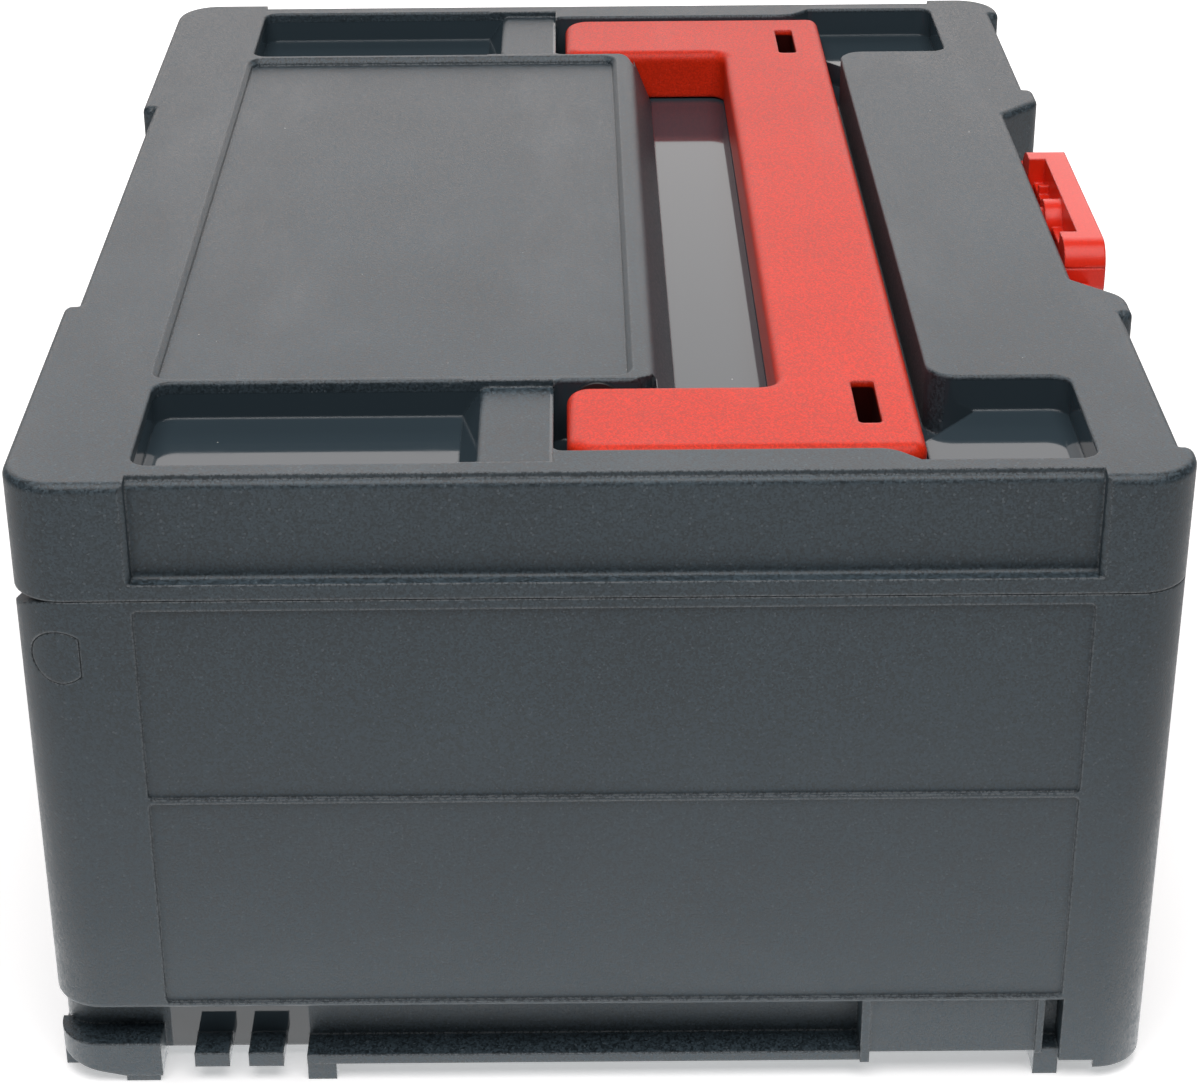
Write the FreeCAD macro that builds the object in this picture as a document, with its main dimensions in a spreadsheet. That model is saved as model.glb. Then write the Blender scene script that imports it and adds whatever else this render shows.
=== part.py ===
import FreeCAD, Part
import Sketcher
import math
import os
import re

# Stackable tool case in millimetres. The origin is the bottom centre, +X runs along the
# long side, +Y to the hinges at the rear and +Z up, so the latch is on the -Y side.

SIZES = {
    # Whole case
    "case_length": 396, "case_width": 296, "case_height": 182.4, "corner_radius": 14,
    "wall": 2.8, "seam_height": 150, "seam_gap": 0.3,
    # Lid shell
    "lid_rim": 6.4, "top_edge": 2.4, "top_plate": 2.6,
    "rear_step_half": 83.5, "rear_setback": 3.8, "front_setback": 3.2, "front_block_half": 179.5,
    "bump_outer": 96, "step_round": 2.7, "step_root": 0.4, "bump_round": 9,
    "end_recess_rear": 116.7, "end_recess_front": 124, "end_recess_deep": 4, "end_ledge": 154.6,
    "rim_step_in": 5.7, "rim_step_drop": 1.4, "rim_edge_round": 2, "end_chamfer": 1.2,
    # Label panel
    "panel_rear": 116.2, "panel_front": 8.1, "panel_half": 133.6, "panel_deep": 2.4,
    "panel_round": 4, "panel_chamfer": 1.5,
    # Handle well and arm slots
    "well_floor": 165, "well_rim": 14.6, "well_foot": 21.6, "well_front": 86.8,
    "slot_inner": 137.4, "slot_outer": 179.7, "slot_end": 11.5, "slot_turn": 73.1,
    "slot_turn_round": 10, "well_rim_round": 5, "well_corner_round": 7,
    "deep_edge": 84.2, "deep_outer": 181.5, "deep_corner": 98.8, "deep_mid": 156.3,
    # Corner pockets
    "rear_pocket_rear": 116.4, "rear_pocket_front": 35.6, "rear_pocket_inner": 137.4,
    "block_drop": 2.1, "block_end": 29.9, "block_round": 2.5,
    "rear_pocket_outer": 186.4, "rear_pocket_deep": 10.4, "pocket_round": 5,
    "front_pocket_front": 123.7, "front_pocket_outer": 186.4,
    "front_pocket_deep": 9.9, "island_round": 8, "pocket_lip": 0.8,
    # Hinge
    "hinge_inward": 12, "hinge_below": 16, "hinge_pin_radius": 2.5,
    "hinge_arm_inner": 171.5, "hinge_arm_outer": 184.5, "hinge_arm_radius": 7,
    "hinge_ear_inner": 158, "hinge_ear_front": 12, "hinge_pin_start": 160, "hinge_side_gap": 0.8,
    "plug_radius": 7.3, "plug_flat": 5.1,
    "plug_gap": 0.2, "plug_seat": 191.5,
    # Handle
    "handle_top": 181.7, "handle_bottom": 165.7, "bar_front": 82.4, "bar_rear": 47,
    "arm_inner": 139.4, "arm_outer": 178.7, "arm_end": 8, "handle_corner": 4,
    "handle_inside_round": 5, "arm_end_round": 8, "arm_inner_round": 6, "handle_edge": 3.2, "pivot_height": 174.5,
    "strap_inner": 138.3, "strap_outer": 164.1, "strap_front": 72.3, "strap_rear": 66.1,
    "strap_round": 1.5, "cell_count": 6, "cell_pitch": 44, "cell_rib": 3, "handle_skin": 3.4,
    "handle_pin_radius": 4, "bush_radius": 7.2, "bush_thick": 1.1, "handle_pin_seat": 4,
    # Latch
    "latch_half": 70, "latch_inset": 13, "latch_height": 172, "latch_inset_bottom": 118,
    "latch_reach": 44, "latch_swing_gap": 0.6, "bezel_half": 62, "bezel_top": 170,
    "bezel_bottom": 152.5, "bezel_back": 2.2, "cheek_deep": 10.4, "bezel_round": 2.5,
    "knob_back": 7.7, "knob_apex": 13.6, "knob_end_deep": 10.4, "knob_bow": 600,
    "crown_top": 181, "crown_bottom": 162, "crown_round": 7.5, "parting_height": 174,
    "shoulder_half": 43.5, "tongue_half": 17, "tongue_bottom": 129, "tongue_round": 8,
    "knob_rib": 1.6, "knob_rib_back": 4.6, "knob_end_back": 2.6, "knob_end_inner": 31.2,
    "knob_end_low": 166.6, "knob_web": 22, "parting_groove": 0.3, "hub_radius": 7,
    "spigot_radius": 4.5, "spigot_end": 7.2, "latch_washer_radius": 7, "latch_washer_thick": 1.2,
    "screw_radius": 1.6, "screw_head": 3.1, "screw_head_thick": 2, "screw_deep": 8,
    # Strike on the tub
    "catch_half": 16, "catch_top": 146, "catch_bottom": 121, "catch_thick": 2.2,
    "catch_rib_top": 145.5, "catch_rib_bottom": 142.5, "catch_rib_proud": 1.4,
    "bezel_screw_edge": 4.2,
    # Rim tongue between tub and lid
    "rim_outside": 1.7, "rim_inside": 2.8, "rim_high": 2.4, "rim_play": 0.45, "rim_rear_end": 108,
    # End panels of the tub
    "panel_sink": 1, "end_panel_low": 27.2, "end_panel_high": 147.3, "end_rib_mid": 91,
    "end_rib_thick": 1.2, "end_panel_rear": 116.9, "end_panel_front": 123.5,
    # Plinth, ledges, legs and feet
    "plinth_top": 25.6, "plinth_bottom": 4.8, "plinth_half": 187, "plinth_side": 147.4,
    "plinth_round": 9, "floor_thick": 3, "ledge_reach": 196.5, "ledge_bottom": 5.5, "ledge_top": 8.4,
    "corner_ledge_top": 12.6, "corner_ledge_low": 2, "corner_ledge_front": 119.8,
    "corner_ledge_rise": 4.4, "ledge_rear": 80.2, "ledge_front": 70.1,
    "post_thick": 2.5, "plate_low": 8.2, "plate_front": 117.4, "plate_reach": 196.5,
    "post_reach": 197.6, "window_front": 124.1, "window_rear": 119.3, "corner_block_low": 3.6,
    "block_foot_start": 133.4, "block_foot_low": 5.9, "foot_reach": 196,
    "rear_foot_front": 120.6, "rear_foot_rear": 129.8, "front_foot_rear": 117.6,
    "front_foot_front": 124.2, "mid_foot_thick": 7.8, "sill": 8.6, "side_foot_inner": 176,
    "side_foot_deep": 7, "leg_first": 86.6, "leg_wide": 9.5,
    "leg_pitch": 14.7, "leg_bottom": 4.9, "leg_top": 9.3, "shell_foot_round": 1.2, "panel_corner": 1.5, "hinge_slot_low": 14,
    "spring_thick": 0.8, "spring_end": 34, "spring_bend": 24, "spring_rise": 3.6,
    # Running and assembly clearances
    "fit": 0.05, "loose_fit": 0.3,
}

doc = FreeCAD.newDocument("tool_case")
sheet = doc.addObject("Spreadsheet::Sheet", "sizes")
for row, (name, size) in enumerate(SIZES.items(), 1):
    sheet.set("A%d" % row, name)
    sheet.set("B%d" % row, str(size))
    sheet.setAlias("B%d" % row, name)
doc.recompute()


def bind(text):
    """Turn the size names in an expression into references to the sheet."""
    def link(word):
        return "sizes." + word.group() if word.group() in SIZES else word.group()
    return re.sub(r"[A-Za-z_]\w*", link, str(text))


def value(text):
    """The number that an expression of size names stands for."""
    return float(sheet.evalExpression(bind(text)))


# Places that several pieces share, each worked out once from the sizes above.
HALF_X = "case_length / 2"
HALF_Y = "case_width / 2"
LID_LOW = "(seam_height + seam_gap)"
HINGE_Y = "(case_width / 2 - hinge_inward)"
HINGE_Z = "(seam_height - hinge_below)"
FRONT_WALL = "(case_width / 2 - latch_inset)"
INSIDE_FRONT = "(case_width / 2 - latch_inset - lid_rim)"
MITRE = "(sqrt(2) - 1)"


def new_body(label):
    body = doc.addObject("PartDesign::Body", label)
    body.Label = label
    return body


def origin_part(body, role):
    return next(part for part in body.Origin.OriginFeatures if part.Role == role)


def draw_outline(sketch, corners):
    """Closed line through the corners (x, y) or (x, y, radius), tied to the sheet."""
    points = [FreeCAD.Vector(value(corner[0]), value(corner[1]), 0) for corner in corners]
    count = len(points)
    entries, exits, centres = [], [], []
    for number, corner in enumerate(corners):
        point = points[number]
        if len(corner) < 3:
            entries.append(point)
            exits.append(point)
            centres.append(None)
            continue
        back = (points[number - 1] - point).normalize()
        ahead = (points[(number + 1) % count] - point).normalize()
        radius = value(corner[2])
        half_angle = back.getAngle(ahead) / 2
        entries.append(point + back * (radius / math.tan(half_angle)))
        exits.append(point + ahead * (radius / math.tan(half_angle)))
        middle = point + (back + ahead).normalize() * (radius / math.sin(half_angle))
        centres.append((middle, radius, back.cross(ahead).z < 0))
    lines = []
    for number in range(count):
        line = Part.LineSegment(exits[number], entries[(number + 1) % count])
        lines.append(sketch.addGeometry(line))
    for number, corner in enumerate(corners):
        before, after = lines[number - 1], lines[number]
        if centres[number] is None:
            sketch.addConstraint(Sketcher.Constraint("Coincident", before, 2, after, 1))
            where = (after, 1)
        else:
            where = draw_corner(sketch, corner, points[number], entries[number],
                                exits[number], centres[number], before, after)
        for kind, axis in (("DistanceX", 0), ("DistanceY", 1)):
            rule = Sketcher.Constraint(kind, -1, 1, where[0], where[1], points[number][axis])
            place = sketch.addConstraint(rule)
            sketch.setExpression("Constraints[%d]" % place, bind(corner[axis]))


def draw_corner(sketch, corner, point, entry, leave, centre, before, after):
    """Arc between two lines, with a construction point where the lines would meet."""
    middle, radius, left_turn = centre
    start_arm, end_arm = entry - middle, leave - middle
    start = math.atan2(start_arm.y, start_arm.x)
    end = math.atan2(end_arm.y, end_arm.x)
    circle = Part.Circle(middle, FreeCAD.Vector(0, 0, 1), radius)
    if left_turn:
        arc = sketch.addGeometry(Part.ArcOfCircle(circle, start, end))
        first, last = 1, 2
    else:
        arc = sketch.addGeometry(Part.ArcOfCircle(circle, end, start))
        first, last = 2, 1
    sketch.addConstraint(Sketcher.Constraint("Tangent", before, 2, arc, first))
    sketch.addConstraint(Sketcher.Constraint("Tangent", arc, last, after, 1))
    place = sketch.addConstraint(Sketcher.Constraint("Radius", arc, radius))
    sketch.setExpression("Constraints[%d]" % place, bind(corner[2]))
    mark = sketch.addGeometry(Part.Point(point), True)
    sketch.addConstraint(Sketcher.Constraint("PointOnObject", mark, 1, before))
    sketch.addConstraint(Sketcher.Constraint("PointOnObject", mark, 1, after))
    return mark, 1


def draw_circle(sketch, x, y, radius):
    middle = FreeCAD.Vector(value(x), value(y), 0)
    ring = sketch.addGeometry(Part.Circle(middle, FreeCAD.Vector(0, 0, 1), value(radius)))
    for kind, size, text in (("DistanceX", middle.x, x), ("DistanceY", middle.y, y)):
        place = sketch.addConstraint(Sketcher.Constraint(kind, -1, 1, ring, 3, size))
        sketch.setExpression("Constraints[%d]" % place, bind(text))
    place = sketch.addConstraint(Sketcher.Constraint("Radius", ring, value(radius)))
    sketch.setExpression("Constraints[%d]" % place, bind(radius))


def new_sketch(body, name, plane, height, shapes):
    """Sketch at a height above an origin plane: outlines are lists, circles are tuples."""
    sketch = body.newObject("Sketcher::SketchObject", name)
    sketch.AttachmentSupport = [(origin_part(body, plane + "_Plane"), "")]
    sketch.MapMode = "FlatFace"
    sketch.setExpression(".AttachmentOffset.Base.z", bind(height))
    for shape in shapes:
        if isinstance(shape, tuple):
            draw_circle(sketch, *shape)
        else:
            draw_outline(sketch, shape)
    return sketch


def add(body, name, plane, low, high, *shapes):
    """Pad from low to high along the plane's normal: +Z for XY, +X for YZ, -Y for XZ."""
    pad = body.newObject("PartDesign::Pad", name)
    pad.Refine = False
    pad.Profile = new_sketch(body, name + "_sketch", plane, low, shapes)
    pad.setExpression("Length", bind("(%s) - (%s)" % (high, low)))
    doc.recompute()
    return pad


def cut(body, name, plane, low, high, *shapes):
    """Pocket between low and high along the plane's normal."""
    before = body.Tip.Shape.Volume
    pocket = body.newObject("PartDesign::Pocket", name)
    pocket.Refine = False
    pocket.Profile = new_sketch(body, name + "_sketch", plane, high, shapes)
    pocket.setExpression("Length", bind("(%s) - (%s)" % (high, low)))
    doc.recompute()
    if not pocket.Shape.Volume < before:
        raise RuntimeError("%s of %s cuts nothing" % (name, body.Label))
    return pocket


def mirror(body, features, name, plane="YZ"):
    pattern = body.newObject("PartDesign::Mirrored", name)
    pattern.Refine = False
    pattern.Originals = features
    pattern.MirrorPlane = (origin_part(body, plane + "_Plane"), [""])
    body.Tip = pattern
    doc.recompute()
    return pattern


def edges_where(shape, test):
    return ["Edge%d" % number for number, edge in enumerate(shape.Edges, 1) if test(edge.BoundBox)]


def round_edges(body, name, test, size, kind="Fillet"):
    base = body.Tip
    picked = edges_where(base.Shape, test)
    if not picked:
        raise RuntimeError("%s of %s finds no edge" % (name, body.Label))
    feature = body.newObject("PartDesign::" + kind, name)
    feature.Refine = False
    feature.Base = (base, picked)
    feature.setExpression("Radius" if kind == "Fillet" else "Size", bind(size))
    doc.recompute()
    return feature


def finish(body):
    """Join the faces that the features left split."""
    body.Tip.Refine = True
    doc.recompute()
    return body


def twins(*shapes):
    """Shapes on the XY or XZ plane with their mirror images across X = 0."""
    other = []
    for shape in shapes:
        if isinstance(shape, tuple):
            other.append(("-(%s)" % shape[0],) + shape[1:])
        else:
            other.append([("-(%s)" % corner[0],) + tuple(corner[1:]) for corner in shape])
    return list(shapes) + other


def at_height(box, height):
    return abs(box.ZMin - value(height)) < 1e-4 and abs(box.ZMax - value(height)) < 1e-4


def box_corners(x_low, x_high, y_low, y_high, radius=None):
    corners = [(x_low, y_low), (x_high, y_low), (x_high, y_high), (x_low, y_high)]
    return [corner + (radius,) for corner in corners] if radius else corners


def both_sides(half):
    """A half outline for x above 0, then its mirror image in the opposite order."""
    other = [("-(%s)" % corner[0],) + tuple(corner[1:]) for corner in reversed(half)]
    return list(half) + other


def case_plan(inset):
    """Plan of the case with the latch inset in its front, moved inwards by inset."""
    side = "%s - (%s)" % (HALF_X, inset)
    front = "-(%s) + (%s)" % (HALF_Y, inset)
    wall = "-(%s) + (%s)" % (FRONT_WALL, inset)
    shift = "%s * (%s)" % (MITRE, inset)
    corner = "corner_radius - (%s)" % inset
    return both_sides([
        (side, "%s - (%s)" % (HALF_Y, inset), corner),
        (side, front, corner),
        ("latch_half + latch_inset + %s" % shift, front),
        ("latch_half + %s" % shift, wall),
    ])


def rim_strip(outer, inner):
    """U-shaped strip of the case's plan between two insets, open at the rear."""
    sides = []
    for inset in (outer, inner):
        sides.append([
            ("%s - (%s)" % (HALF_X, inset), "rim_rear_end"),
            ("%s - (%s)" % (HALF_X, inset), "-(%s) + (%s)" % (HALF_Y, inset),
             "corner_radius - (%s)" % inset),
            ("latch_half + latch_inset + %s * (%s)" % (MITRE, inset),
             "-(%s) + (%s)" % (HALF_Y, inset)),
            ("latch_half + %s * (%s)" % (MITRE, inset), "-(%s) + (%s)" % (FRONT_WALL, inset)),
        ])
    outline = both_sides(sides[0])
    back = both_sides(sides[1])
    return outline + back[::-1]


LATCH_INSET = both_sides([
    ("latch_half", "-(%s)" % FRONT_WALL),
    ("latch_half + latch_inset + 4", "-(%s) - 4" % HALF_Y),
])


def make_lower_body():
    """Tub with its plinth, coupling ledges and legs, hinge ears and rim tongue."""
    tub = new_body("lower_body")
    inside_end = "%s - wall" % HALF_X
    inside_rear = "%s - wall" % HALF_Y
    add(tub, "shell", "XY", "plinth_top", "seam_height",
        box_corners("-(%s)" % HALF_X, HALF_X, "-(%s)" % HALF_Y, HALF_Y, "corner_radius"))
    round_edges(tub, "shell_foot", lambda box: at_height(box, "plinth_top"), "shell_foot_round")
    add(tub, "plinth", "XY", "plinth_bottom", "plinth_top + 1",
        box_corners("-(plinth_half)", "plinth_half", "-(plinth_side)", "plinth_side", "plinth_round"))
    add(tub, "rim_tongue", "XY", "seam_height", "seam_height + rim_high",
        rim_strip("rim_outside", "rim_inside"))
    cut(tub, "latch_inset", "XY", "latch_inset_bottom", "seam_height + rim_high + 1", LATCH_INSET)
    make_base_details(tub)

    cut(tub, "cavity_low", "XY", "plinth_bottom + floor_thick", "plinth_top + wall",
        box_corners("-(plinth_half) + wall", "plinth_half - wall",
                    "-(plinth_side) + wall", "plinth_side - wall", "plinth_round - wall"))
    cut(tub, "cavity_middle", "XY", "plinth_top + wall", "latch_inset_bottom - wall",
        box_corners("-(%s)" % inside_end, inside_end, "-(%s)" % inside_rear, inside_rear,
                    "corner_radius - wall"))
    cut(tub, "cavity_top", "XY", "latch_inset_bottom - wall", "seam_height + rim_high + 1",
        both_sides([
            ("hinge_ear_inner", inside_rear),
            ("hinge_ear_inner", "%s - hinge_ear_front" % HINGE_Y),
            (inside_end, "%s - hinge_ear_front" % HINGE_Y),
            (inside_end, "-(%s)" % inside_rear, "corner_radius - wall"),
            ("latch_half + latch_inset + %s * wall" % MITRE, "-(%s)" % inside_rear),
            ("latch_half + %s * wall" % MITRE, "-(%s) + wall" % FRONT_WALL),
        ]))

    cut(tub, "rear_edge_round", "YZ", "-(%s) - 1" % HALF_X, "%s + 1" % HALF_X, [
        (HINGE_Y, "seam_height + 4"), (HINGE_Y, "seam_height"),
        ("%s + hinge_below" % HINGE_Y, "seam_height", "hinge_below - 0.01"),
        ("%s + hinge_below" % HINGE_Y, HINGE_Z),
        ("%s + hinge_below + 4" % HINGE_Y, HINGE_Z),
        ("%s + hinge_below + 4" % HINGE_Y, "seam_height + 4")])

    sunk = []
    for name, low, high in (("low", "end_panel_low", "end_rib_mid - end_rib_thick / 2"),
                            ("high", "end_rib_mid + end_rib_thick / 2", "end_panel_high")):
        sunk.append(cut(tub, "end_panel_" + name, "YZ", "%s - panel_sink" % HALF_X,
                        "%s + 1" % HALF_X,
                        box_corners("-(end_panel_front)", "end_panel_rear", low, high, "panel_corner")))
    cut(tub, "hinge_slots", "XY", "%s - hinge_slot_low" % HINGE_Z, "seam_height + 1",
        *twins(box_corners("hinge_arm_inner - hinge_side_gap", "hinge_arm_outer + hinge_side_gap",
                           "%s - hinge_arm_radius - hinge_side_gap" % HINGE_Y, "%s + 1" % HALF_Y)))
    cut(tub, "hinge_bores", "YZ", "-(plug_seat) - 1", "plug_seat + 1",
        (HINGE_Y, HINGE_Z, "hinge_pin_radius + fit"))
    plug = cut(tub, "plug_hole", "YZ", "plug_seat", "%s + 1" % HALF_X,
               (HINGE_Y, HINGE_Z, "plug_radius + plug_gap"))
    flat = add(tub, "plug_key", "YZ", "plug_seat", HALF_X,
               box_corners("%s - plug_radius - 1" % HINGE_Y, "%s - plug_flat - plug_gap" % HINGE_Y,
                           "%s - plug_radius - 1" % HINGE_Z, "%s + plug_radius + 1" % HINGE_Z))
    mirror(tub, sunk + [plug, flat], "far_end_features")
    cut(tub, "catch_holes", "XZ", "%s - wall - 1" % FRONT_WALL, "%s + 1" % FRONT_WALL,
        *catch_screw_places("screw_radius + fit"))
    return finish(tub)


def make_base_details(tub):
    """Ledges, coupling legs and feet of one short end, then their mirror image."""
    root = "plinth_half - wall - 1"

    def block(reach, y_low, y_high):
        return box_corners(root, reach, y_low, y_high)

    def layer(name, low, high, *outlines):
        add(tub, name, "XY", low, high, *twins(*outlines))

    legs = ["leg_first + %d * leg_pitch" % number for number in range(2)]
    layer("corner_ledges", "corner_ledge_low", "corner_ledge_top", [
        (root, "corner_ledge_front"), ("ledge_reach", "corner_ledge_front"),
        ("ledge_reach", HALF_Y, "corner_radius - 2"), (root, HALF_Y)])
    layer("long_ledges", "ledge_bottom", "ledge_top",
          block("ledge_reach", "-(ledge_front)", "ledge_rear"))
    layer("legs", "leg_bottom", "leg_top",
          *[block("ledge_reach", rear, "%s + leg_wide" % rear) for rear in legs])
    layer("posts", "ledge_bottom", "plinth_top + 1",
          block("post_reach", "-(ledge_front) - post_thick", "-(ledge_front)"))
    layer("flush_plates", "plate_low", "plinth_top + 1",
          block("plate_reach", "-(plate_front)", "-(ledge_front) - post_thick"))
    layer("window_ribs", "plate_low", "plinth_top + 1",
          block("post_reach", "-(window_rear)", "-(plate_front)"))
    layer("corner_blocks", "corner_block_low", "plinth_top + 2 * shell_foot_round", [
        (root, "-(%s)" % HALF_Y), (HALF_X, "-(%s)" % HALF_Y, "corner_radius"),
        (HALF_X, "-(window_front)"), (root, "-(window_front)")])
    layer("window_backs", "plate_low", "plinth_top",
          block("plinth_half + wall", "-(window_front) - 1", "-(window_rear) + 1"))
    cut(tub, "corner_lifts", "XY", "corner_block_low - 1", "block_foot_low",
        *twins(box_corners(root, "%s + 1" % HALF_X, "-(block_foot_start)", "-(window_front) + 1")))
    cut(tub, "corner_rises", "YZ", "-(%s) - 1" % HALF_X, "%s + 1" % HALF_X, [
        ("rear_foot_rear", "corner_ledge_low"),
        ("%s + 1" % HALF_Y, "corner_ledge_low + corner_ledge_rise"),
        ("%s + 1" % HALF_Y, "corner_ledge_low - 1"), ("rear_foot_rear", "corner_ledge_low - 1")])
    layer("feet", "0", "plinth_bottom + 1",
          block("foot_reach", "rear_foot_front", "rear_foot_rear"),
          block("foot_reach", "ledge_rear - mid_foot_thick", "ledge_rear"))
    layer("side_feet", "0", "corner_ledge_top - 2",
          box_corners("side_foot_inner", "plinth_half + 1",
                      "plinth_side - side_foot_deep", "plinth_side"))
    layer("front_feet", "0", "sill",
          block("foot_reach", "-(front_foot_front)", "-(front_foot_rear)"))


def make_lid_shell():
    """Lid with its label panel, handle well, pockets, end recesses and hinge arms."""
    lid = new_body("lid_shell")
    front = "-(%s)" % HALF_Y
    step_front = "%s + front_setback" % front
    add(lid, "shell", "XY", LID_LOW, "case_height", both_sides([
        ("rear_step_half", "%s - rear_setback" % HALF_Y, "step_root"),
        ("rear_step_half", HALF_Y, "step_round"),
        (HALF_X, HALF_Y, "corner_radius"),
        (HALF_X, front, "corner_radius"),
        ("front_block_half", front, "step_round"),
        ("front_block_half", step_front, "step_root"),
        ("bump_outer", step_front, "step_root"),
        ("bump_outer", front, "step_round"),
        ("latch_half + latch_inset", front, "bump_round"),
        ("latch_half", "-(%s)" % FRONT_WALL, "step_round"),
    ]))
    round_edges(lid, "top_round", lambda box: at_height(box, "case_height"), "top_edge")
    make_end_recess(lid)
    make_lid_top(lid)
    make_lid_hollows(lid)
    make_lid_hinge(lid)

    cut(lid, "rim_groove", "XY", LID_LOW, "%s + rim_high + rim_play" % LID_LOW,
        rim_strip("rim_outside - rim_play", "rim_inside + rim_play"))
    cut(lid, "spigot_hole", "XZ", "%s - 1" % INSIDE_FRONT, "%s + 1" % FRONT_WALL,
        ("0", "latch_height", "spigot_radius + 2 * fit"))
    cut(lid, "bezel_holes", "XZ", "%s - 1" % INSIDE_FRONT, "%s + 1" % FRONT_WALL,
        *bezel_screw_places("screw_radius + fit"))
    inner = cut(lid, "pivot_bore", "YZ", "slot_inner - handle_pin_seat",
                "slot_outer + handle_pin_seat", ("0", "pivot_height", "handle_pin_radius + fit"))
    mirror(lid, [inner], "far_pivot_bore")
    return finish(lid)


def make_end_recess(lid):
    """Shallow recess in each short end, open at the top, with a ledge at its foot."""
    wall = "%s - end_recess_deep" % HALF_X
    step = "%s - rim_step_in" % HALF_X
    cut(lid, "end_recess", "XZ", "-(end_recess_rear)", "end_recess_front", *twins([
        (wall, "end_ledge", "end_chamfer"),
        ("%s + 5" % HALF_X, "end_ledge"),
        ("%s + 5" % HALF_X, "case_height + 5"),
        (step, "case_height + 5"),
        (step, "case_height - rim_step_drop"),
        (wall, "case_height - rim_step_drop", "rim_edge_round")]))
    sides = [("end_recess_rear", "+"), ("-(end_recess_front)", "-")]
    cut(lid, "end_chamfers", "XY", "end_ledge", "case_height + 1", *twins(*[[
        ("%s - end_chamfer" % HALF_X, place),
        ("%s + 1" % HALF_X, place),
        ("%s + 1" % HALF_X, "%s %s (end_chamfer + 1)" % (place, way))] for place, way in sides]))


def make_lid_top(lid):
    """Label panel, handle well with its arm slots, and the four corner pockets."""
    above = "case_height + 1"
    cut(lid, "label_panel", "XY", "case_height - panel_deep", above,
        box_corners("-(panel_half)", "panel_half", "-(panel_front)", "panel_rear", "panel_round"))

    def near_panel(box):
        edge = value("panel_chamfer") + 0.1
        inside_x = max(-box.XMin, box.XMax) < value("panel_half") + edge
        inside_y = (box.YMax < value("panel_rear") + edge
                    and box.YMin > -value("panel_front") - edge)
        return inside_x and inside_y

    def on_panel(box):
        return at_height(box, "case_height") and near_panel(box)

    round_edges(lid, "panel_edge", on_panel, "panel_chamfer", "Chamfer")
    cut(lid, "handle_well", "XY", "well_floor", above, both_sides([
        ("slot_inner", "-(well_foot)"),
        ("slot_inner", "slot_end", "step_round"),
        ("slot_outer", "slot_end", "step_round"),
        ("slot_outer", "-(slot_turn)"),
        ("deep_outer", "-(deep_edge)", "step_round"),
        ("deep_mid", "-(deep_edge)"),
        ("slot_inner + 1", "-(deep_corner)"),
        ("slot_inner", "-(deep_corner)"),
        ("slot_inner", "-(well_front)", "island_round"),
    ]))
    cut(lid, "front_pockets", "XY", "case_height - front_pocket_deep", above, *twins([
        ("slot_inner", "-(front_pocket_front)", "pocket_round"),
        ("front_pocket_outer", "-(front_pocket_front)", "pocket_round"),
        ("front_pocket_outer", "-(slot_turn) - (front_pocket_outer - slot_outer)"),
        ("slot_outer", "-(slot_turn)", "slot_turn_round"),
        ("slot_outer", "-(slot_turn) + slot_turn_round"),
        ("slot_inner", "-(slot_turn) + slot_turn_round")]))
    cut(lid, "rear_pockets", "XY", "case_height - rear_pocket_deep", above,
        *twins([("rear_pocket_inner", "rear_pocket_front"),
                ("rear_pocket_outer", "rear_pocket_front"),
                ("rear_pocket_outer", "rear_pocket_rear", "pocket_round"),
                ("rear_pocket_inner", "rear_pocket_rear", "pocket_round")]))

    def on_lip(box):
        inside_x = max(-box.XMin, box.XMax) < value("front_pocket_outer") + 0.1
        inside_y = (box.YMin > -value("front_pocket_front") - 0.1
                    and box.YMax < value("rear_pocket_rear") + 0.1)
        return at_height(box, "case_height") and inside_x and inside_y and not near_panel(box)

    round_edges(lid, "pocket_lips", on_lip, "pocket_lip")

    rim_start = "-(well_rim) + well_rim_round"
    cut(lid, "well_slope", "YZ", "-(slot_inner)", "slot_inner", [
        (rim_start, above), (rim_start, "case_height"),
        ("-(well_rim)", "case_height", "well_rim_round"),
        ("-(well_foot)", "well_floor"), ("-(well_foot)", above)])
    beyond = "well_corner_round + 1"
    cut(lid, "well_corners", "XY", "well_floor", above, *twins([
        ("slot_inner - %s" % beyond, "-(well_rim)"),
        ("slot_inner", "-(well_rim)", "well_corner_round"),
        ("slot_inner", "-(well_rim) + %s" % beyond),
        ("slot_inner + 1", "-(well_rim) + %s" % beyond),
        ("slot_inner + 1", "-(well_rim) - 1"),
        ("slot_inner - %s" % beyond, "-(well_rim) - 1")]))
    cut(lid, "block_tops", "XY", "case_height - block_drop", above,
        *twins(box_corners("rear_pocket_inner", "rear_pocket_outer", "slot_end",
                           "rear_pocket_front")))
    slope = cut(lid, "block_slope", "YZ", "rear_pocket_inner", "rear_pocket_outer", [
        ("block_end - 2 * block_round", above),
        ("block_end - 2 * block_round", "case_height - block_drop"),
        ("block_end", "case_height - block_drop", "block_round"),
        ("rear_pocket_front", "case_height - rear_pocket_deep"),
        ("rear_pocket_front", above)])
    mirror(lid, [slope], "far_block_slope")


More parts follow.
